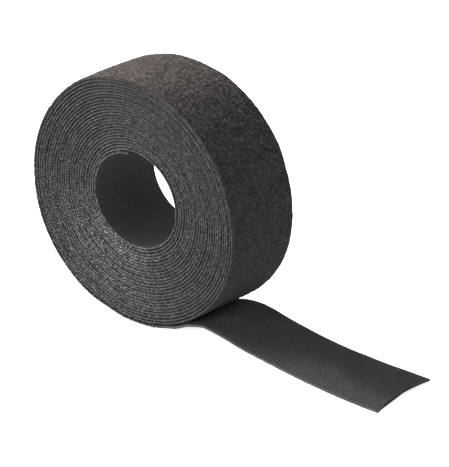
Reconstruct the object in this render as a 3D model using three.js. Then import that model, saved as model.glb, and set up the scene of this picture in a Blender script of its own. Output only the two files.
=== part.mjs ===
// A coreless roll of back-to-back hook and loop tape, standing on its rim, with its free end lying in front of it.
// The tape is a laminate of three strips: a moulded hook strip on the inner face of every turn,
// a thin bonding film, and a napped loop strip on the outer face.
// Millimetres. X runs along the free end, Y along the roll's axis, Z up.
// The origin is on the floor, under the middle of the roll's width.
import * as THREE from "three";

// ---- Tape ----
const TAPE_WIDTH = 25;
const HOOK_THICKNESS = 0.33;
const FILM_THICKNESS = 0.08;
const LOOP_THICKNESS = 0.33;
const LAYER_GAP = 0.03; // clearance between the strips of the laminate

// ---- Winding ----
const OUTER_RADIUS = 38.5; // mean radius of the loop face where the last turn leaves the roll
const BORE_RADIUS = 14.25; // mean radius of the hook face at the inner end
const WHOLE_TURNS = 25; // plus the arc from the inner end round to the take-off point
const FACETS_PER_TURN = 20;
const INNER_END_DEG = 99; // seen from the front, counter-clockwise from +X
const TAKE_OFF_DEG = -63;
const OUTER_OVAL = 0.024; // the roll has sagged a little: wider than it is tall
const BORE_OVAL = 0.04;
const BORE_SHIFT = [0.6, 1.2]; // the bore's centre, from the centre of the last turn

// ---- Free ends ----
const SPLIT_GAP = 0.3; // between neighbouring lengths of strip that flex against each other
const INNER_END_FACETS = 2; // length of the loose inner end
// The loop face of the free end, from the take-off point to the cut: it humps over the peel line, then lies down on the floor.
const TAIL_POINTS = [
  [23.1, 5.4],
  [28.6, 6.05],
  [40.45, 4.1],
  [52.5, 2.4],
  [64.65, 1.1],
  [76.85, 0.32],
  [90.6, 0.0],
];

// Depth of each strip below the loop face, towards the hook side.
const LAMINATE_THICKNESS =
  HOOK_THICKNESS + FILM_THICKNESS + LOOP_THICKNESS + 2 * LAYER_GAP;
const LAYERS = {
  loop: [0, LOOP_THICKNESS],
  film: [
    LOOP_THICKNESS + LAYER_GAP,
    LOOP_THICKNESS + LAYER_GAP + FILM_THICKNESS,
  ],
  hook: [LAMINATE_THICKNESS - HOOK_THICKNESS, LAMINATE_THICKNESS],
};

const MATERIALS = {
  loop: () =>
    new THREE.MeshStandardMaterial({
      color: 0x403a38,
      roughness: 1,
      metalness: 0,
    }),
  film: () =>
    new THREE.MeshStandardMaterial({
      color: 0x55565a,
      roughness: 0.6,
      metalness: 0,
    }),
  hook: () =>
    new THREE.MeshStandardMaterial({
      color: 0x252928,
      roughness: 0.45,
      metalness: 0,
    }),
};

const rad = (deg) => (deg * Math.PI) / 180;

// Corner points of the loop face, turn by turn, from the inner end to the take-off point.
function windingCorners() {
  const step = rad(360 / FACETS_PER_TURN);
  const arc = rad((TAKE_OFF_DEG - INNER_END_DEG + 720) % 360);
  const sweep = WHOLE_TURNS * 2 * Math.PI + arc;
  const count = Math.round(sweep / step);
  const start = BORE_RADIUS + LAMINATE_THICKNESS;
  const corners = [];
  for (let i = 0; i <= count; i++) {
    const s = i / count;
    const angle = rad(INNER_END_DEG) + i * step;
    const oval = BORE_OVAL + (OUTER_OVAL - BORE_OVAL) * s;
    const radius =
      (start + (OUTER_RADIUS - start) * s) * (1 + oval * Math.cos(2 * angle));
    corners.push(
      new THREE.Vector2(
        BORE_SHIFT[0] * (1 - s) + radius * Math.cos(angle),
        BORE_SHIFT[1] * (1 - s) + radius * Math.sin(angle),
      ),
    );
  }
  // The facet that the roll stands on: the last turn's corners on either side of straight down, level with each other.
  const right = count - 1;
  const left = count - 2;
  corners[left].set(-corners[right].x, corners[right].y);
  const axisHeight = -corners[right].y;
  corners.forEach((c) => (c.y += axisHeight));
  return corners;
}

// The closed outline of one strip along the corners, with its two ends cut square and pulled back by half the split gap.
function stripOutline(corners, [near, far]) {
  const pts = corners.map((c) => c.clone());
  const last = pts.length - 1;
  const trim = (a, b) => a.add(b.clone().sub(a).setLength(SPLIT_GAP / 2));
  trim(pts[0], corners[1]);
  trim(pts[last], corners[last - 1]);
  const leftNormal = (a, b) => {
    const d = b.clone().sub(a).normalize();
    return new THREE.Vector2(-d.y, d.x);
  };
  const offset = (i, depth) => {
    const before = i > 0 ? leftNormal(pts[i - 1], pts[i]) : null;
    const after = i < last ? leftNormal(pts[i], pts[i + 1]) : null;
    if (!before || !after)
      return pts[i].clone().addScaledVector(before || after, depth);
    const mid = before.clone().add(after).normalize();
    return pts[i].clone().addScaledVector(mid, depth / mid.dot(after));
  };
  const outer = pts.map((_, i) => offset(i, near));
  const inner = pts.map((_, i) => offset(i, far)).reverse();
  return new THREE.Shape([...outer, ...inner]);
}

function strip(name, corners, layer) {
  const geometry = new THREE.ExtrudeGeometry(
    stripOutline(corners, LAYERS[layer]),
    { depth: TAPE_WIDTH, bevelEnabled: false, steps: 1, curveSegments: 1 },
  );
  geometry.translate(0, 0, -TAPE_WIDTH / 2);
  geometry.rotateX(Math.PI / 2); // the outline's second axis becomes Z
  const mesh = new THREE.Mesh(geometry, MATERIALS[layer]());
  mesh.name = name;
  return mesh;
}

const roll = new THREE.Group();
const winding = windingCorners();
const tail = [
  winding[winding.length - 1],
  ...TAIL_POINTS.map(([x, z]) => new THREE.Vector2(x, z)),
];

for (const layer of ["loop", "film", "hook"]) {
  // the wound length
  roll.add(strip(`wound_${layer}_strip`, winding.slice(INNER_END_FACETS), layer));
  // the loose inner end, inside the bore
  roll.add(
    strip(`inner_end_${layer}`, winding.slice(0, INNER_END_FACETS + 1), layer),
  );
  // the free end, in lengths that flex against each other
  for (let i = 0; i + 1 < tail.length; i++)
    roll.add(strip(`tail_${i + 1}_${layer}`, tail.slice(i, i + 2), layer));
}

export default roll;
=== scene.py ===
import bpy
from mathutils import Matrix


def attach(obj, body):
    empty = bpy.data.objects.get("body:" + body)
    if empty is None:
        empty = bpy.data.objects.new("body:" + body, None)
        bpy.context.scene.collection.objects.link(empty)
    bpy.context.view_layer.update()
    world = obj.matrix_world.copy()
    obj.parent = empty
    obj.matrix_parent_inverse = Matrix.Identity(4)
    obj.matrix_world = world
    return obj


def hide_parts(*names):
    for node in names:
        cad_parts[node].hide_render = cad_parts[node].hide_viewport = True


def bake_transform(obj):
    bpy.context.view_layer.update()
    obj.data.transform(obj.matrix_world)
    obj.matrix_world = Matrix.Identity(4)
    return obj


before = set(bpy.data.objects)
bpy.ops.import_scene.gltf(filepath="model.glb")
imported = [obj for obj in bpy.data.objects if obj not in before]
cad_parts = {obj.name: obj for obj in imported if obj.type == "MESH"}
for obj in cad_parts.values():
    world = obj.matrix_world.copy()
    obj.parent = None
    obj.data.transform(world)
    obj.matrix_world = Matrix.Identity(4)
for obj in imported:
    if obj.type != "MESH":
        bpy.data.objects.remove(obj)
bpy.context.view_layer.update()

# A coreless roll of back-to-back hook and loop tape: loop nap outside, moulded hooks inside, one end lying on the floor.
# The strips follow the smooth curve that the CAD's facets are corners of. Lengths in millimetres until a mesh is made.
import math

import bpy
import numpy as np
from mathutils import Matrix

rng = np.random.default_rng(11)
MM = 0.001

# ---- the tape, as in the CAD ----
HALF = 12.5
LAMINATE = 0.80
OUTER_RADIUS, BORE_RADIUS = 38.5, 14.25
COUNT, STEP = 511, math.radians(18)
SWEEP = COUNT * STEP
INNER_END = math.radians(99)
OUTER_OVAL, BORE_OVAL = 0.024, 0.04
SHIFT_X, SHIFT_Z = 0.6, 1.2
TAIL = [(23.1, 5.4), (28.6, 6.05), (40.45, 4.1), (52.5, 2.4), (64.65, 1.1), (76.85, 0.32), (90.6, 0.0)]

# ---- depths below the loop face, towards the hooks ----
LOOP_BACK = 0.31
FILM_BACK = 0.39
HOOK_BASE = 0.51
ROW_PITCH = 0.9
COLUMN_PITCH = 0.6

# ---- how the free end lies ----
CROWN = 0.95
TWIST = 2.1
SWING = 0.95
SAG = 0.38
TIP_EXTRA = 1.38
TIP_SKEW = 1.18
TIP_BOW = 0.7


# ---------------------------------------------------------------- smooth noise
def line_noise(x, pitch, seed):
    """A smooth random function of x, about -1 to 1, with a feature every pitch."""
    r = np.random.default_rng(seed)
    x = np.asarray(x, float) / pitch
    knots = r.uniform(-1, 1, int(np.max(x)) + 8)
    i = np.floor(x).astype(int)
    f = x - i
    a, b, c, d = (knots[np.clip(i + k, 0, len(knots) - 1)] for k in (0, 1, 2, 3))
    return b + 0.5 * f * (c - a + f * (2 * a - 5 * b + 4 * c - d + f * (3 * (b - c) + d - a)))


def field_noise(rows, columns, pitch_rows, pitch_columns, seed):
    """A smooth random field on a grid, about -1 to 1, with features of the given pitch in grid cells."""
    r = np.random.default_rng(seed)
    u, v = np.arange(rows) / pitch_rows, np.arange(columns) / pitch_columns
    k = r.uniform(-1, 1, (int(u[-1]) + 3, int(v[-1]) + 3))
    iu, iv = u.astype(int), v.astype(int)
    fu, fv = (u - iu)[:, None], (v - iv)[None, :]
    fu, fv = fu * fu * (3 - 2 * fu), fv * fv * (3 - 2 * fv)
    g = lambda a, b: k[np.ix_(iu + a, iv + b)]
    return (g(0, 0) * (1 - fu) + g(1, 0) * fu) * (1 - fv) + (g(0, 1) * (1 - fu) + g(1, 1) * fu) * fv


# ---------------------------------------------------------------- the tape's path
def spiral(phi):
    s = phi / SWEEP
    a = INNER_END + phi
    oval = BORE_OVAL + (OUTER_OVAL - BORE_OVAL) * s
    start = BORE_RADIUS + LAMINATE
    r = (start + (OUTER_RADIUS - start) * s) * (1 + oval * np.cos(2 * a))
    return SHIFT_X * (1 - s) + r * np.cos(a), SHIFT_Z * (1 - s) + r * np.sin(a), a, s, r


AXIS_Z = -float(spiral(SWEEP - STEP)[1])


def winding(phi):
    x, z, a, s, r = spiral(phi)
    turn = phi / (2 * math.pi)
    # the hand-wound turns don't lie quite evenly
    give = 0.07 * np.cos(3 * a + 0.8) + 0.05 * np.cos(5 * a + 2.1)
    give = give * s + 0.035 * line_noise(turn * 360, 75, 5) * np.clip(turn, 0, 1) * np.clip((SWEEP - phi) / 3, 0, 1)
    x, z = x + give * np.cos(a), z + give * np.sin(a) + AXIS_Z
    # the turns are pressed flat a little where the roll stands on the floor
    down = (a + math.pi / 2 + math.pi) % (2 * math.pi) - math.pi
    z = z + 0.3 * np.exp(-((down / 0.21) ** 2)) * s**2
    # the loose inner end springs away from the turn behind it
    lift = 0.45 * np.clip(1 - phi / math.radians(46), 0, 1) ** 2
    return x - lift * np.cos(a), z - lift * np.sin(a)


def spline(points, per_piece):
    """A natural cubic spline through the points, evenly sampled in each piece."""
    p = np.array(points, float)
    t = np.concatenate([[0], np.cumsum(np.linalg.norm(np.diff(p, axis=0), axis=1))])
    n, h = len(p), np.diff(t)
    m = np.eye(n)
    rhs = np.zeros((n, 2))
    for i in range(1, n - 1):
        m[i, i - 1 : i + 2] = h[i - 1], 2 * (h[i - 1] + h[i]), h[i]
        rhs[i] = 6 * ((p[i + 1] - p[i]) / h[i] - (p[i] - p[i - 1]) / h[i - 1])
    c = np.linalg.solve(m, rhs)
    out = []
    for i in range(n - 1):
        u = np.linspace(0, h[i], per_piece, endpoint=i == n - 2)[:, None]
        w = h[i] - u
        out.append(
            (c[i] * w**3 + c[i + 1] * u**3) / (6 * h[i])
            + (p[i] / h[i] - c[i] * h[i] / 6) * w
            + (p[i + 1] / h[i] - c[i + 1] * h[i] / 6) * u
        )
    return out, t


phi_dense = np.linspace(0, SWEEP, 130001)
wound_x, wound_z = winding(phi_dense)
lead = [np.array(winding(np.array([SWEEP - math.radians(d)]))).ravel() for d in (24, 16, 8, 0)]
pieces_xy, knots_at = spline(lead + [np.array(q) for q in TAIL], 400)
tail_xy = np.concatenate(pieces_xy[3:])
end_dir = tail_xy[-1] - tail_xy[-2]
end_dir = np.array([1.0, 0.0]) * np.linalg.norm(end_dir)
beyond = tail_xy[-1] + end_dir / np.linalg.norm(end_dir) * np.linspace(0.05, 4, 60)[:, None]
path = np.concatenate([np.stack([wound_x, wound_z], 1)[:-1], tail_xy, beyond])
length_at = np.concatenate([[0], np.cumsum(np.linalg.norm(np.diff(path, axis=0), axis=1))])
tangent = np.gradient(path, length_at, axis=0)
tangent /= np.linalg.norm(tangent, axis=1)[:, None]
TAKE_OFF = float(length_at[len(phi_dense) - 1])
TAIL_KNOT = [float(length_at[len(phi_dense) - 1 + 400 * k]) for k in range(7)]
TAIL_END = float(length_at[len(phi_dense) - 1 + len(tail_xy) - 1])
TAIL_KNOT.append(TAIL_END)


def length_of(degrees):
    """Length along the tape at an angle wound on from the inner end."""
    return float(np.interp(math.radians(degrees), phi_dense, length_at[: len(phi_dense)]))


# ---- where the pieces of the tape begin ----
INNER_CUT = length_of(50)  # the wound strips begin here, and the loose inner end is before it
LAST_TURN = length_of(math.degrees(SWEEP) - 360 - 14)
LEAVE = length_of(math.degrees(SWEEP) - 9)  # the free end's first piece begins here
FIRST_TURN = length_of(372)
LOOSE_TURNS = length_of(1150)  # the turns lie loosely up to here,
OUTER_TURNS = length_of(math.degrees(SWEEP) - 900)  # and from here on


def smooth(x):
    x = np.clip(x, 0, 1)
    return x * x * (3 - 2 * x)


def crisp(L):
    """1 where the turns lie crisply, with open gaps between them, and 0 where their edges are frayed over the gaps."""
    around = np.degrees(INNER_END + np.interp(L, length_at[: len(phi_dense)], phi_dense))
    from_frayed = np.abs((around - 240 + 180) % 360 - 180)
    ends = np.maximum(smooth((LOOSE_TURNS - L) / 60), smooth((L - OUTER_TURNS) / 60))
    return np.maximum(smooth((from_frayed - 45) / 50), ends)


def side_shift(L, phi):
    """How far each length of tape has slid sideways out of the stack."""
    slid = 0.13 * line_noise(L, 47, 21) + 0.06 * line_noise(L, 11, 22)
    return slid * np.clip((TAKE_OFF + 10 - L) / 60, 0, 1) - 0.25 * np.clip(1 - phi / 15, 0, 1)


def place(L, y, depth, along=0.0):
    """Points on the tape: length along it, across it, and depth from the loop face towards the hooks."""
    L, y, depth = np.broadcast_arrays(np.asarray(L, float), np.asarray(y, float), np.asarray(depth, float))
    x, z = np.interp(L, length_at, path[:, 0]), np.interp(L, length_at, path[:, 1])
    tx, tz = np.interp(L, length_at, tangent[:, 0]), np.interp(L, length_at, tangent[:, 1])
    phi = np.interp(L, length_at[: len(phi_dense)], phi_dense)
    across = y / (2 * HALF)
    # the free end is a little crowned, and its far edge lies lower than its near edge
    out = L - TAKE_OFF
    drop, room = TWIST * smooth((out + 4) / 26), np.maximum(z - 0.02, 0)
    low = drop * room / (drop + room + 0.001) * (out > -4)
    rise = CROWN * smooth((out - 3) / 40) * (1 - (y / HALF) ** 2) - low * (0.5 + across)
    rise = rise - SAG * smooth(out / 9) * smooth((62 - out) / 30) * (0.8 - 0.4 * across + 0.7 * smooth((34 - out) / 16) * (0.5 - across) ** 2)
    # the near edge swells at the peel line, and the far edge is not quite straight
    bell = lambda at, wide: np.exp(-(((out - at) / wide) ** 2))
    rise = rise + (0.5 - across) ** 2 * (0.45 * bell(9.5, 3) - 0.55 * bell(-0.5, 3.5)) + 0.2 * (0.5 + across) ** 2 * (bell(26, 6) + bell(51, 6))
    # its far corner stands off the floor
    rise = rise + 0.45 * smooth((out - 48) / 22) * (0.5 + across) ** 2
    # on one side the turns lean in towards the near face
    angle = INNER_END + phi
    from_lean = (angle - 0.3 + math.pi) % (2 * math.pi) - math.pi
    lean = -0.95 * np.exp(-((from_lean / 0.6) ** 2)) * phi / SWEEP * (0.5 - across)
    # the outer turns stand a little proud of a true oval
    around = np.degrees(angle) % 360
    hump = lambda at, wide: np.exp(-(((around - at) / wide) ** 2))
    proud = (0.5 - across) * (0.27 * smooth((around - 100) / 15) * smooth((250 - around) / 15) + 0.2 * hump(122, 12) - 0.2 * hump(183, 9) - 0.45 * hump(255, 7))
    proud = proud + (0.5 + across) * (0.58 * smooth((around - 17) / 14) * smooth((82 - around) / 14) - 0.22 * hump(109, 8))
    proud = proud + (1 - (2 * across) ** 2) * 0.33 * hump(122, 15)
    # and splay a little under the roll's weight
    splay = -0.4 * hump(274, 11) * (phi / SWEEP) ** 8 * (0.5 - across) * smooth((TAKE_OFF - L) / 5)
    outward = lean + proud * (phi / SWEEP) ** 3 * smooth((TAKE_OFF - L) / 5)
    return np.stack(
        [
            x + tx * along - tz * depth + outward * np.cos(angle),
            y * (1 + 0.02 * smooth((out - 30) / 45)) + side_shift(L, phi) + splay - SWING * smooth((out - 28) / 48),
            z + tz * along + tx * depth + rise + outward * np.sin(angle),
        ],
        -1,
    )


# ---------------------------------------------------------------- meshes
def make_mesh(name, points, faces, cut, material, sharp=50, end=0.0):
    """points in mm, faces a list of index arrays with 3 or more columns each, cut 1 at the tape's cut edges and the
    share of a painted highlight on the free end's hook heads, end 1 across its tip, where painted shade is put.
    """
    points = np.asarray(points, float).reshape(-1, 3) * MM
    points[:, 2] = np.maximum(points[:, 2], 0.00001)
    mesh = bpy.data.meshes.new(name)
    mesh.vertices.add(len(points))
    mesh.vertices.foreach_set("co", points.astype(np.float32).ravel())
    flatness_and_painted_shaded_nap = np.concatenate([f.ravel() for f in faces]).astype(np.int32)
    sizes = np.concatenate([np.full(len(f), f.shape[1]) for f in faces])
    starts = np.concatenate([[0], np.cumsum(sizes)[:-1]]).astype(np.int32)
    mesh.loops.add(len(flatness_and_painted_shaded_nap))
    mesh.loops.foreach_set("vertex_index", flatness_and_painted_shaded_nap)
    mesh.polygons.add(len(sizes))
    mesh.polygons.foreach_set("loop_start", starts)
    mesh.update(calc_edges=True)
    mesh.polygons.foreach_set("use_smooth", np.ones(len(sizes), bool))
    mesh.set_sharp_from_angle(angle=math.radians(sharp))
    mesh.attributes.new("cut", "FLOAT", "POINT").data.foreach_set("value", np.broadcast_to(cut, len(points)).astype(np.float32))
    mesh.attributes.new("end", "FLOAT", "POINT").data.foreach_set("value", np.broadcast_to(end, len(points)).astype(np.float32))
    mesh.materials.append(material)
    piece = bpy.data.objects.new(name, mesh)
    bpy.context.scene.collection.objects.link(piece)
    return piece


def tube_faces(rows, columns, first=0):
    """Quads of a closed section swept along rows, with both ends capped; outward for sections that run from -Y to +Y on the loop face."""
    i, j = np.meshgrid(np.arange(rows - 1), np.arange(columns), indexing="ij")
    k = (j + 1) % columns
    quads = np.stack([i * columns + j, i * columns + k, (i + 1) * columns + k, (i + 1) * columns + j], -1).reshape(-1, 4)
    start = np.arange(columns)[::-1][None, :]
    end = (rows - 1) * columns + np.arange(columns)[None, :]
    return [quads + first, start + first, end + first]


def cut_back(y):
    """How far the cut at the tip stands back from its middle: a slanting, slightly hollow cut."""
    u = y / HALF
    return TIP_SKEW * u + TIP_BOW * (1 - u**2) * (1 - 0.35 * u)


def strip(L0, L1, pitch, section, tip=False, jitter=None):
    """Points and faces of a closed strip. section is (y, depth) around the strip, starting along the loop side from -Y."""
    rows = max(3, int(round((L1 - L0) / pitch)) + 1)
    u = np.linspace(0, 1, rows)[:, None]
    y = np.repeat(section[None, :, 0], rows, 0)
    depth = np.repeat(section[None, :, 1], rows, 0)
    end = np.full_like(y, L1)
    if tip:
        end = L1 - cut_back(y)
        u[-2] = 1 - 0.06 / (L1 - L0)
    L = L0 + (end - L0) * u
    if jitter is not None:
        dy, dd = jitter(rows)
        y, depth = y + dy, depth + dd
    cut = np.tile(np.abs(section[:, 0]) > HALF - 0.075, rows) * 1.0
    return place(L, y, depth).reshape(-1, 3), tube_faces(rows, section.shape[0]), cut


def duller(parts, share):
    """The same strip, with its cut edges nearer to the tone of its faces."""
    return parts[0], parts[1], share * parts[2]


def edge_fuzz(section, seed, size):
    """Small irregularities of a strip's cut edges, with the faces left alone."""
    near_edge = np.abs(section[:, 0]) > HALF - 0.04

    def jitter(rows):
        r = np.random.default_rng(seed)
        yarns = field_noise(rows, len(section), 2.3, 1.7, seed + 9) * 1.6
        dy = np.clip(size * (r.normal(0, 0.7, (rows, len(section))) + yarns), -2.2 * size, 2.2 * size) * near_edge
        dd = np.clip(r.normal(0, size * 0.35, (rows, len(section))), -size, size) * near_edge
        return dy, dd

    return jitter


HOOK_PROFILE = np.array(
    [(-0.3, -0.02), (0.26, -0.02), (0.13, 0.08), (0.11, 0.13), (0.16, 0.155), (0.23, 0.12), (0.3, 0.145), (0.25, 0.22), (0.08, 0.255), (-0.1, 0.225), (-0.18, 0.12)]
)
RIB_PROFILE = np.array([(-0.36, -0.02), (0.36, -0.02), (0.26, 0.1), (0.3, 0.21), (0.1, 0.29), (-0.24, 0.23), (-0.26, 0.1)])


def hooks(L, y, lean, width, profile, seed, cut=0.0, wide=1.0, high=1.0):
    """Rows of moulded hooks: each is the profile, standing on the hook strip's base and drawn out across the tape."""
    r = np.random.default_rng(seed)
    n, k = len(L), len(profile)
    tall = (high * (1 + r.normal(0, 0.03, n)))[:, None]
    shift = r.normal(0, 0.012, n)[:, None]
    along = profile[None, :, 0] * (lean * wide)[:, None] + shift
    depth = HOOK_BASE + profile[None, :, 1] * tall
    sides = []
    for s in (-1, 1):
        sides.append(place(L[:, None], (y + s * lean * width / 2)[:, None], depth, along))
    points = np.stack(sides, 1).reshape(-1, 3)
    base = (np.arange(n) * 2 * k)[:, None, None]
    a = np.arange(k)
    b = (a + 1) % k
    quads = (np.stack([a + k, b + k, b, a], -1)[None] + base).reshape(-1, 4)
    low = (a[None, None] + base).reshape(-1, k)
    high = (a[None, None] + k + base).reshape(-1, k)[:, ::-1]
    # for the ribs, the cut edges' own pale tone; for the free end's hook heads, a painted highlight
    cut_tone_and_painted_highlight = np.broadcast_to(np.asarray(cut, float).reshape(-1, 1, 1), (n, 2, k))
    if np.ndim(cut):
        cut_tone_and_painted_highlight = cut_tone_and_painted_highlight * np.clip(profile[:, 1] / 0.15, 0, 1)  # only the hooks' heads
    return points, [quads, low, high], cut_tone_and_painted_highlight.ravel()


def join(parts):
    """Several (points, faces, cut) as one."""
    points, faces, cuts, first = [], [], [], 0
    for p, f, c in parts:
        points.append(p)
        faces += [x + first for x in f]
        cuts.append(c)
        first += len(p)
    return np.concatenate(points), faces, np.concatenate(cuts)


def hook_field(L0, L1, seed, tip=False, flatness_and_painted_shaded_nap=0.0):
    """Every hook between two lengths, in cross rows, with neighbours leaning opposite ways."""
    r = np.random.default_rng(seed)
    rows = np.arange(math.ceil((L0 - 6) / ROW_PITCH), math.ceil(L1 / ROW_PITCH)) * ROW_PITCH
    columns = np.arange(-20, 21) * COLUMN_PITCH
    L, y = np.meshgrid(rows, columns, indexing="ij")
    lean = np.where((np.arange(len(columns)) % 2)[None, :] == 0, 1.0, -1.0) + 0 * L
    L, y, lean = L.ravel(), y.ravel() + r.normal(0, 0.012, L.size), lean.ravel()
    # the rows run straight across, but bow towards the tip along the free end's near edge
    out = L - TAKE_OFF
    L = L + 0.42 * smooth((out - 14) / 26) * (1 - 0.7 * smooth((out - 46) / 27)) * (np.hypot(y + 3, 2) - y - 3) / 2
    keep = (L >= L0) & (L < L1)
    L, y, lean = L[keep], y[keep], lean[keep]
    if tip:
        keep = L < L1 - 0.35 - cut_back(y)
        L, y, lean = L[keep], y[keep], lean[keep]
    # the hooks are pressed flat, but stand up along the free end's near edge, where their heads are painted paler: a
    # painted highlight
    near = 3 - 5 * smooth((L - TAKE_OFF - 48) / 16)
    cut_tone_and_painted_highlight = smooth((near - y) / 10) * smooth((L - TAKE_OFF - 28) / 32)
    # and painted a little paler at the peel line: painted light that lifts the shade under the roll
    cut_tone_and_painted_highlight = np.maximum(cut_tone_and_painted_highlight, 0.6 * smooth((TAKE_OFF + 17 - L) / 6) * smooth((y + 8) / 5) * (L > LEAVE))
    return hooks(L, y, lean, 0.36, HOOK_PROFILE, seed, cut=cut_tone_and_painted_highlight, wide=1.3 + flatness_and_painted_shaded_nap * 0.2 - 0.8 * cut_tone_and_painted_highlight, high=0.66 - flatness_and_painted_shaded_nap * 0.24 + 0.62 * cut_tone_and_painted_highlight)


# closed sections, from -Y to +Y along the loop side and back along the hook side
def loop_section(columns, face=0.0, back=2):
    across = np.linspace(-HALF + 0.12, HALF - 0.12, columns)
    return np.array(
        [(-HALF + 0.03, 0.27), (-HALF, 0.15), (-HALF + 0.02, face + 0.04)]
        + [(y, face) for y in across]
        + [(HALF - 0.02, face + 0.04), (HALF, 0.15), (HALF - 0.03, 0.27)]
        + [(y, LOOP_BACK) for y in np.linspace(HALF - 0.1, -HALF + 0.1, back)]
    )


def flat_section(front, back, inset, columns=2):
    across = np.linspace(-HALF + 0.35, HALF - 0.35, columns)
    across = np.concatenate([[-HALF + inset], across, [HALF - inset]])
    return np.array([(y, front) for y in across] + [(y, back) for y in across[::-1]])


# ---------------------------------------------------------------- materials
def node_material(name):
    m = bpy.data.materials.new(name)
    m.use_nodes = True
    t = m.node_tree
    t.nodes.clear()
    out = t.nodes.new("ShaderNodeOutputMaterial")
    shader = t.nodes.new("ShaderNodeBsdfPrincipled")
    t.links.new(shader.outputs["BSDF"], out.inputs["Surface"])
    coordinate = t.nodes.new("ShaderNodeTexCoord")
    return m, t, shader, coordinate.outputs["Object"]


def noise(t, vector, scale, detail=2.0, roughness_and_painted_lit_nap=0.6, stretch=None):
    if stretch is not None:
        mapping = t.nodes.new("ShaderNodeMapping")
        mapping.inputs["Scale"].default_value = stretch
        t.links.new(vector, mapping.inputs["Vector"])
        vector = mapping.outputs["Vector"]
    n = t.nodes.new("ShaderNodeTexNoise")
    n.inputs["Scale"].default_value = scale
    n.inputs["Detail"].default_value = detail
    n.inputs["Roughness"].default_value = roughness_and_painted_lit_nap
    t.links.new(vector, n.inputs["Vector"])
    return n.outputs["Fac"]


def ramp(t, fac, stops, mode="LINEAR"):
    r = t.nodes.new("ShaderNodeValToRGB")
    r.color_ramp.interpolation = mode
    e = r.color_ramp.elements
    while len(e) > 1:
        e.remove(e[-1])
    e[0].position, e[0].color = stops[0][0], (*stops[0][1], 1)
    for at, colour in stops[1:]:
        x = e.new(at)
        x.color = (*colour, 1)
    t.links.new(fac, r.inputs["Fac"])
    return r.outputs["Color"]


def mix(t, fac, a, b, how="MIX"):
    n = t.nodes.new("ShaderNodeMix")
    n.data_type = "RGBA"
    n.blend_type = how
    sockets = [s for s in n.inputs if s.enabled]
    for s, value in zip(sockets, (fac, a, b)):
        if isinstance(value, bpy.types.NodeSocket):
            t.links.new(value, s)
        else:
            s.default_value = value
    return [s for s in n.outputs if s.enabled][0]


def maths(t, how, a, b=None, c=None):
    n = t.nodes.new("ShaderNodeMath")
    n.operation = how
    for s, value in zip(n.inputs, (a, b, c)):
        if isinstance(value, bpy.types.NodeSocket):
            t.links.new(value, s)
        elif value is not None:
            s.default_value = value
    return n.outputs[0]


def bump(t, height, strength, distance):
    b = t.nodes.new("ShaderNodeBump")
    b.inputs["Strength"].default_value = strength
    b.inputs["Distance"].default_value = distance
    t.links.new(height, b.inputs["Height"])
    return b.outputs["Normal"]


def point_value(t, name):
    n = t.nodes.new("ShaderNodeAttribute")
    n.attribute_type = "GEOMETRY"
    n.attribute_name = name
    return n.outputs["Fac"]


def cut_mask(t):
    """0 on the tape's faces, 1 at its cut edges; on the free end's hook heads it carries a painted highlight."""
    return point_value(t, "cut")


def painted_shade_on_tip_cut(t, colour):
    """The cut across the tip is painted nearly black: painted shade, for the shade it lies in."""
    return mix(t, point_value(t, "end"), colour, (0.005, 0.0052, 0.0052, 1.0))


def vectors(t, how, a, b=None):
    n = t.nodes.new("ShaderNodeVectorMath")
    n.operation = how
    t.links.new(a, n.inputs[0])
    if b is not None:
        n.inputs[1].default_value = b
    return n.outputs["Value" if how in ("DOT_PRODUCT", "LENGTH") else "Vector"]


def off_axis(t, vector):
    """From the roll's axis, square to it."""
    return vectors(t, "MULTIPLY", vectors(t, "SUBTRACT", vector, (0.0, 0.0, 0.0375)), (1.0, 0.0, 1.0))


def facing(t, out, half_x, half_z):
    """1 in the given direction from the roll's axis, 0 on the opposite side."""
    return maths(t, "ADD", vectors(t, "DOT_PRODUCT", vectors(t, "NORMALIZE", out), (half_x, 0.0, half_z)), 0.5)


def paler_edges_and_painted_highlight(t, vector, colour):
    """The cut edges are painted paler at the roll's lower left, a painted highlight, and are a little paler towards the
    bore.
    """
    out = off_axis(t, vector)
    stops = ((0.0, 0.49), (0.3, 0.51), (0.5, 0.52), (0.7, 0.54), (0.83, 0.64), (0.92, 0.86), (1.0, 0.98))
    # painted highlight: the cut edges are made paler towards the roll's lower left
    painted_lower_left_highlight = ramp(t, facing(t, out, -0.25, -0.433), [(a, (v, v, v)) for a, v in stops])
    far = ramp(t, maths(t, "MULTIPLY", vectors(t, "LENGTH", out), 20.0), [(0.3, (1.6, 1.6, 1.6)), (0.335, (1.45, 1.45, 1.45)), (0.375, (1.12, 1.12, 1.12)), (0.5, (1.03, 1.03, 1.03)), (0.77, (0.9, 0.9, 0.9))])
    return mix(t, 1.0, mix(t, 1.0, colour, painted_lower_left_highlight, "MULTIPLY"), far, "MULTIPLY")


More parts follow.
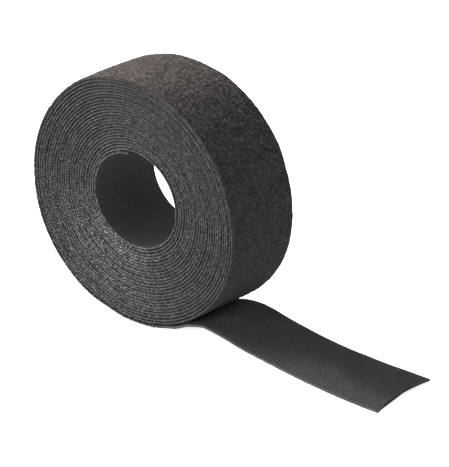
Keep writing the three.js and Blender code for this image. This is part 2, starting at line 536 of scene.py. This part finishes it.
def loop_material(name, cut_stops):
    m, t, shader, at = node_material(name)
    tufts = noise(t, at, 1150, 3.0, 0.7)
    drift = noise(t, at, 240, 2.0, 0.5)
    mixed = maths(t, "ADD", maths(t, "MULTIPLY", tufts, 0.84), maths(t, "MULTIPLY", drift, 0.16))
    # painted light: the nap is painted browner, brighter and more mottled on the lit upper left, and duller round the
    # shaded right side
    roughness_and_painted_lit_nap = ramp(t, mixed, [(0.39, (0.0055, 0.00484, 0.004631)), (0.47, (0.0145, 0.01276, 0.01221)), (0.53, (0.0285, 0.02508, 0.024)), (0.62, (0.066, 0.05808, 0.05557))])
    flatness_and_painted_shaded_nap = ramp(t, mixed, [(0.39, (0.0088, 0.008316, 0.008184)), (0.47, (0.0147, 0.01389, 0.01367)), (0.53, (0.0213, 0.02013, 0.01981)), (0.62, (0.0355, 0.03355, 0.03301))])
    # painted light: the lit copy of the nap goes on the roll's upper left, the shaded copy elsewhere
    painted_lit_side = ramp(t, facing(t, off_axis(t, at), -0.25, 0.433), [(0.4, (0.0, 0.0, 0.0)), (0.75, (1.0, 1.0, 1.0))])
    nap = mix(t, painted_lit_side, flatness_and_painted_shaded_nap, roughness_and_painted_lit_nap)
    yarn = noise(t, at, 1900, 2.0, 0.6)
    cut = ramp(t, yarn, cut_stops)
    t.links.new(painted_shade_on_tip_cut(t, mix(t, cut_mask(t), nap, paler_edges_and_painted_highlight(t, at, cut))), shader.inputs["Base Color"])
    shader.inputs["Roughness"].default_value = 0.92
    shader.inputs["Specular IOR Level"].default_value = 0.08
    shader.inputs["Sheen Weight"].default_value = 0.03
    shader.inputs["Sheen Roughness"].default_value = 0.5
    t.links.new(bump(t, noise(t, at, 1500, 3.0, 0.7), 0.9, 0.0004), shader.inputs["Normal"])
    return m


def fibre_material():
    m, t, shader, at = node_material("loop_fibre")
    strand = noise(t, at, 1600, 2.0, 0.6)
    t.links.new(ramp(t, strand, [(0.35, (0.014, 0.01204, 0.01141)), (0.52, (0.03, 0.0258, 0.02445)), (0.68, (0.06, 0.0516, 0.0489))]), shader.inputs["Base Color"])
    shader.inputs["Roughness"].default_value = 0.7
    shader.inputs["Specular IOR Level"].default_value = 0.3
    return m


def film_material():
    m, t, shader, at = node_material("bond_film")
    grain = noise(t, at, 1700, 3.0, 0.65)
    face = ramp(t, grain, [(0.36, (0.012, 0.012, 0.0125)), (0.66, (0.026, 0.026, 0.0265))])
    cut = ramp(t, grain, [(0.4, (0.0075, 0.0075, 0.0077)), (0.5, (0.021, 0.021, 0.0213)), (0.61, (0.065, 0.065, 0.065))])
    t.links.new(painted_shade_on_tip_cut(t, mix(t, cut_mask(t), face, paler_edges_and_painted_highlight(t, at, cut))), shader.inputs["Base Color"])
    shader.inputs["Roughness"].default_value = 0.62
    t.links.new(bump(t, grain, 0.4, 0.00004), shader.inputs["Normal"])
    return m


def hook_material(name, cut_stops, gloss, tone):
    m, t, shader, at = node_material(name)
    cloud = noise(t, at, 90, 3.0, 0.5)
    grain = noise(t, at, 2600, 2.0, 0.6)
    mixed = maths(t, "ADD", maths(t, "MULTIPLY", cloud, 0.55), maths(t, "MULTIPLY", grain, 0.45))
    face = ramp(t, mixed, [(stop, (v * tone, 1.09 * v * tone, 1.063 * v * tone)) for stop, v in ((0.32, 0.0215), (0.5, 0.0258), (0.68, 0.031))])
    cut = ramp(t, noise(t, at, 1700, 2.0, 0.6), cut_stops)
    t.links.new(painted_shade_on_tip_cut(t, mix(t, cut_mask(t), face, paler_edges_and_painted_highlight(t, at, cut))), shader.inputs["Base Color"])
    t.links.new(ramp(t, grain, [(0.3, (0.58, 0.58, 0.58)), (0.7, (0.72, 0.72, 0.72))]), shader.inputs["Roughness"])
    shader.inputs["Specular IOR Level"].default_value = gloss
    t.links.new(bump(t, grain, 0.25, 0.00003), shader.inputs["Normal"])
    return m


LOOP = loop_material("loop_nap", [(0.4, (0.0065, 0.0063, 0.0062)), (0.5, (0.0215, 0.0212, 0.021)), (0.61, (0.074, 0.0733, 0.0728)), (0.7, (0.14, 0.139, 0.138))])
TAIL_LOOP = loop_material("loop_tail_nap", [(0.38, (0.018, 0.0177, 0.0174)), (0.52, (0.045, 0.0444, 0.0441)), (0.66, (0.09, 0.0888, 0.0882))])
RIM = loop_material("loop_rim_nap", [(0.4, (0.006, 0.0057, 0.0056)), (0.5, (0.016, 0.0156, 0.0154)), (0.62, (0.06, 0.0588, 0.058))])
FIBRE = fibre_material()
FILM = film_material()
HOOK = hook_material("hook_plastic", [(0.4, (0.0085, 0.0086, 0.0086)), (0.5, (0.0195, 0.0197, 0.0197)), (0.62, (0.054, 0.054, 0.054)), (0.7, (0.105, 0.105, 0.105))], 0.08, 0.98)
# the free end's hooks: the pale tone of their heads is a painted highlight
TAIL_HOOK = hook_material("hook_tail_plastic", [(0.38, (0.13, 0.137, 0.144)), (0.52, (0.188, 0.197, 0.206)), (0.66, (0.24, 0.252, 0.263))], 0.16, 0.9)


def finish_piece(piece, nodes):
    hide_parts(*nodes)
    return piece


# ---------------------------------------------------------------- the pieces
# ---- wound loop strip: the covered turns show only their cut edges ----
section = loop_section(2, face=-0.09)  # the hooks of the next turn sink into the nap
frayed_edges = edge_fuzz(section, 31, 0.095)


def loosened(rows):
    dy, dd = frayed_edges(rows)
    L = np.linspace(INNER_CUT, LAST_TURN, rows)[:, None]
    free = crisp(L)
    return dy * (1 - 0.2 * free), dd * (1 - 0.2 * free) + (0.05 * free + 0.06 * smooth((LOOSE_TURNS - L) / 60)) * (section[None, :, 1] < 0.0)


wound_loop = make_mesh("loop_turns", *strip(INNER_CUT, LAST_TURN, 0.42, section, jitter=loosened), LOOP)
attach(wound_loop, "roll")
finish_piece(wound_loop, ["wound_loop_strip"])


def nap_jitter(section, seed, height, fade=np.ones_like):
    """The nap's tufts on the loop face, and frayed cut edges."""
    on_face = section[:, 1] == 0.0
    edges = edge_fuzz(section, seed, 0.05)

    def jitter(rows):
        dy, dd = edges(rows)
        columns = int(on_face.sum())
        reach = fade(np.linspace(0, 1, rows))[:, None]
        r = np.random.default_rng(seed + 1)
        tufts = (
            0.5 * field_noise(rows, columns, 3.4, 3.4, seed + 2)
            + 0.5 * field_noise(rows, columns, 1.9, 1.9, seed + 3)
            + 0.3 * r.uniform(-1, 1, (rows, columns))
        )
        dd[:, on_face] -= height * (0.35 + tufts) * reach + 0.03
        return dy, dd

    return jitter


# ---- the last turn: its nap is the roll's rim ----
section = loop_section(86)
even = lambda u: 1 - 0.7 * smooth((u - 0.985) / 0.015)  # the nap is flatter where the tape peels off
outer_loop = make_mesh("loop_rim", *strip(LAST_TURN, LEAVE, 0.29, section, jitter=nap_jitter(section, 41, 0.17, even)), RIM, sharp=80)
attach(outer_loop, "roll")
finish_piece(outer_loop, ["wound_loop_strip"])

# ---- loose fibres of the nap, each a low arch with both feet in it ----
count, ring = 9000, 3
r = np.random.default_rng(47)
L = r.uniform(LAST_TURN + 4, LEAVE - 1.5, count)[:, None, None]
y = r.uniform(-HALF + 0.5, HALF - 0.5, count)[:, None, None]
turn = r.uniform(0, 2 * math.pi, count)[:, None, None]
span = r.uniform(0.5, 1.2, count)[:, None, None]
height = r.uniform(0.1, 0.2, count)[:, None, None]
thick = r.uniform(0.022, 0.036, count)[:, None, None]
at = np.array([-0.5, -0.2, 0.2, 0.5])[None, :, None]
arch = np.array([-0.4, 1.0, 1.0, -0.4])[None, :, None]
around = (np.arange(ring) * 2 * math.pi / ring + math.pi / 2)[None, None, :]
bow = 0.18 * np.array([0, 1, 1, 0])[None, :, None] * r.uniform(-1, 1, count)[:, None, None]
sideways = bow + thick * np.cos(around)
p = place(
    L,
    y + at * span * np.sin(turn) + sideways * np.cos(turn),
    -(0.05 + height * arch + thick * np.sin(around)),
    at * span * np.cos(turn) - sideways * np.sin(turn),
).reshape(-1, 3)
first = (np.arange(count) * 4 * ring)[:, None, None]
i, j = np.meshgrid(np.arange(3), np.arange(ring), indexing="ij")
k = (j + 1) % ring
quads = np.stack([i * ring + j, (i + 1) * ring + j, (i + 1) * ring + k, i * ring + k], -1).reshape(1, -1, 4)
caps = np.array([[[0, 1, 2], [11, 10, 9]]])
rim_fibres = make_mesh("loop_rim_fibres", p, [(quads + first).reshape(-1, 4), (caps + first).reshape(-1, 3)], 0.0, FIBRE)
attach(rim_fibres, "roll")
finish_piece(rim_fibres, ["wound_loop_strip"])

# ---- wound film and hook strips ----
wound_film = make_mesh("film_turns", *strip(INNER_CUT, LEAVE, 1.0, flat_section(LOOP_BACK - 0.01, FILM_BACK, 0.01)), FILM)
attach(wound_film, "roll")
finish_piece(wound_film, ["wound_film_strip"])

base = strip(INNER_CUT, LEAVE, 1.0, flat_section(FILM_BACK - 0.01, HOOK_BASE, 0.02))
rows = np.arange(math.ceil(FIRST_TURN / ROW_PITCH), math.floor(LEAVE / ROW_PITCH)) * ROW_PITCH
ribs = hooks(rows, np.zeros(len(rows)), np.where(np.arange(len(rows)) % 2 == 0, 1.0, -1.0), 2 * HALF - 0.1, RIB_PROFILE, 51, cut=1.0, wide=1 - 0.4 * crisp(rows))
wound_hook = make_mesh("hook_turns", *join([base, ribs]), HOOK)
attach(wound_hook, "roll")
finish_piece(wound_hook, ["wound_hook_strip"])

# ---- between the turns the hooks are pressed into the next turn's nap, so that no light comes through ----
section = np.array([(-10.5, HOOK_BASE - 0.02), (10.5, HOOK_BASE - 0.02), (10.5, 0.95), (-10.5, 0.95)])
pressed_hooks = make_mesh("hook_pressed", *strip(FIRST_TURN, LEAVE - 6, 1.2, section), HOOK)
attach(pressed_hooks, "roll")
finish_piece(pressed_hooks, ["wound_hook_strip"])

# ---- the hooks that show in the bore ----
bore_hooks = make_mesh("hook_bore", *hook_field(INNER_CUT, FIRST_TURN, 61, flatness_and_painted_shaded_nap=1.0), HOOK)
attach(bore_hooks, "roll")
finish_piece(bore_hooks, ["wound_hook_strip"])

# ---- the loose inner end ----
bend_from = place(length_of(45), 0.0, 0.4) * MM
bend_to = place(length_of(27), 0.0, 0.4) * MM
section = loop_section(2)
ends = [
    ("loop", "loop_fabric", LOOP, strip(0, INNER_CUT, 0.36, section, jitter=edge_fuzz(section, 71, 0.05))),
    ("film", "bond_film", FILM, strip(0, INNER_CUT, 0.6, flat_section(LOOP_BACK - 0.01, FILM_BACK, 0.05))),
    ("hook", "hook_plastic", HOOK, join([strip(0, INNER_CUT, 0.6, flat_section(FILM_BACK - 0.01, HOOK_BASE, 0.02)), hook_field(0.3, INNER_CUT, 72, flatness_and_painted_shaded_nap=1.0)])),
]
for layer, slot, material, parts in ends:
    piece = make_mesh(f"{layer}_inner_end", *parts, material)
    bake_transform(piece)
    finish_piece(piece, [f"inner_end_{layer}"])

# ---- the free end, in pieces that each span one knot of its curve ----
middle = [LEAVE] + [(TAIL_KNOT[k] + TAIL_KNOT[k + 1]) / 2 for k in range(7)]
for k in range(1, 8):
    last = k == 7
    a, b = middle[k - 1], TAIL_END + TIP_EXTRA if last else middle[k]
    section = loop_section(44, back=14)
    film_section = flat_section(LOOP_BACK - 0.01, FILM_BACK, 0.05, 14)
    hook_section = flat_section(FILM_BACK - 0.01, HOOK_BASE, 0.02, 14)
    bands = {
        "loop": strip(a, b, 0.5, section, tip=last, jitter=nap_jitter(section, 80 + 10 * k, 0.05)),
        "film": strip(a, b, 0.7, film_section, tip=last),
        "hook": duller(strip(a, b, 0.7, hook_section, tip=last), 0.3),
    }
    across = {"loop": len(section), "film": len(film_section), "hook": len(hook_section)}
    layers = [
        ("loop", "loop_fabric", TAIL_LOOP, bands["loop"]),
        ("film", "bond_film", FILM, bands["film"]),
        ("hook", "hook_plastic", TAIL_HOOK, join([bands["hook"], hook_field(a, b, 200 + k, tip=last)])),
    ]
    for layer, slot, material, parts in layers:
        # the tip's end cap takes the painted shade
        end = np.zeros(len(parts[0]))
        if last:
            whole = len(bands[layer][0])
            end[whole - across[layer] : whole] = 1.0
        piece = make_mesh(f"{layer}_tail_{k}", *parts, material, end=end)
        place(middle[k - 1], 0.0, 0.4) * MM
        place(middle[k], 0.0, 0.4) * MM
        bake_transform(piece)
        finish_piece(piece, [f"tail_{k}_{layer}"])

# ---------------------------------------------------------------- the last four pieces' ends, worked out and left unused
for k in range(4, 8):
    a, b = middle[k - 1], TAIL_END + TIP_EXTRA if k == 7 else middle[k]

# ---------------------------------------------------------------- floor, light and camera
scene = bpy.context.scene
floor_mesh = bpy.data.meshes.new("floor")
floor_mesh.from_pydata([(-3, -3, 0), (3, -3, 0), (3, 3, 0), (-3, 3, 0)], [], [(0, 1, 2, 3)])
floor = bpy.data.objects.new("floor", floor_mesh)
scene.collection.objects.link(floor)
m, t, shader, at = node_material("floor_paper")
t.links.new(ramp(t, noise(t, at, 900, 2.0), [(0.3, (0.595, 0.595, 0.595)), (0.7, (0.605, 0.605, 0.605))]), shader.inputs["Base Color"])
shader.inputs["Roughness"].default_value = 0.9
shader.inputs["Specular IOR Level"].default_value = 0.1
shader.inputs["Emission Color"].default_value = (1.0, 1.0, 1.0, 1)
shader.inputs["Emission Strength"].default_value = 0.8
floor_mesh.materials.append(m)

world = bpy.data.worlds.new("studio")
scene.world = world
world.use_nodes = True
background = world.node_tree.nodes["Background"]
background.inputs["Color"].default_value = (0.92, 0.98, 1.0, 1)
background.inputs["Strength"].default_value = 0.155


def softbox(name, at, aim, size, watts, colour=(1, 1, 1)):
    lamp = bpy.data.lights.new(name, "AREA")
    lamp.shape = "RECTANGLE"
    lamp.size, lamp.size_y = size
    lamp.energy = watts
    lamp.color = colour
    box = bpy.data.objects.new(name, lamp)
    at, aim = np.array(at, float), np.array(aim, float)
    z = (at - aim) / np.linalg.norm(at - aim)
    x = np.cross((0.0, 1.0, 0.0), z)
    x /= np.linalg.norm(x)
    y = np.cross(z, x)
    box.matrix_world = Matrix(((x[0], y[0], z[0], at[0]), (x[1], y[1], z[1], at[1]), (x[2], y[2], z[2], at[2]), (0, 0, 0, 1)))
    scene.collection.objects.link(box)


MIDDLE = (0, 0, 0.03)
softbox("key", (-1.2, -0.15, 0.71), MIDDLE, (0.5, 0.5), 28, (1.0, 0.935, 0.89))
softbox("edge", (-1.15, 0.02, 0.85), MIDDLE, (0.3, 0.3), 40, (1.0, 0.88, 0.82))
softbox("high", (-0.77, -0.49, 1.08), MIDDLE, (0.5, 0.5), 8.5)
softbox("top", (0.0, -0.14, 1.42), MIDDLE, (0.8, 0.8), 5.5)
softbox("front", (-0.14, -1.33, 0.45), MIDDLE, (0.9, 0.9), 50)
softbox("side", (0.86, -0.96, 0.59), MIDDLE, (1.0, 1.0), 1.0, (0.85, 0.96, 1.0))
softbox("back_left", (-0.63, 0.77, 1.01), MIDDLE, (0.6, 0.6), 1.5)
softbox("back_right", (0.5, 1.25, 0.5), MIDDLE, (0.8, 0.8), 8)

# the camera fitted to the photograph's outlines
FOCAL, LONG_SIDE = 6000.0, 467.0
ELEVATION, TURN, ROLL = math.radians(23.49), math.radians(47.99), math.radians(0.29)
SLIDE_X, SLIDE_Y, SCALE = -0.676, 0.231, 134.76
right = np.array([math.sin(TURN), math.cos(TURN), 0])
ahead = np.array([-math.cos(TURN), math.sin(TURN), 0])
forward = ahead * math.cos(ELEVATION) - np.array([0, 0, math.sin(ELEVATION)])
up = ahead * math.sin(ELEVATION) + np.array([0, 0, math.cos(ELEVATION)])
eye = -right * SLIDE_X - up * SLIDE_Y - forward * FOCAL / SCALE
eye = (eye * OUTER_RADIUS + np.array([0, -HALF, AXIS_Z])) * MM
c, s = math.cos(ROLL), math.sin(ROLL)
cx, cy, cz = c * right - s * up, s * right + c * up, -forward
lens = bpy.data.cameras.new("camera")
lens.sensor_fit = "AUTO"
lens.sensor_width = 36
lens.lens = FOCAL / LONG_SIDE * 36
lens.clip_start, lens.clip_end = 0.05, 20
camera = bpy.data.objects.new("camera", lens)
camera.matrix_world = Matrix(((cx[0], cy[0], cz[0], eye[0]), (cx[1], cy[1], cz[1], eye[1]), (cx[2], cy[2], cz[2], eye[2]), (0, 0, 0, 1)))
scene.collection.objects.link(camera)
scene.camera = camera
scene.view_settings.view_transform = "Standard"
scene.view_settings.look = "None"
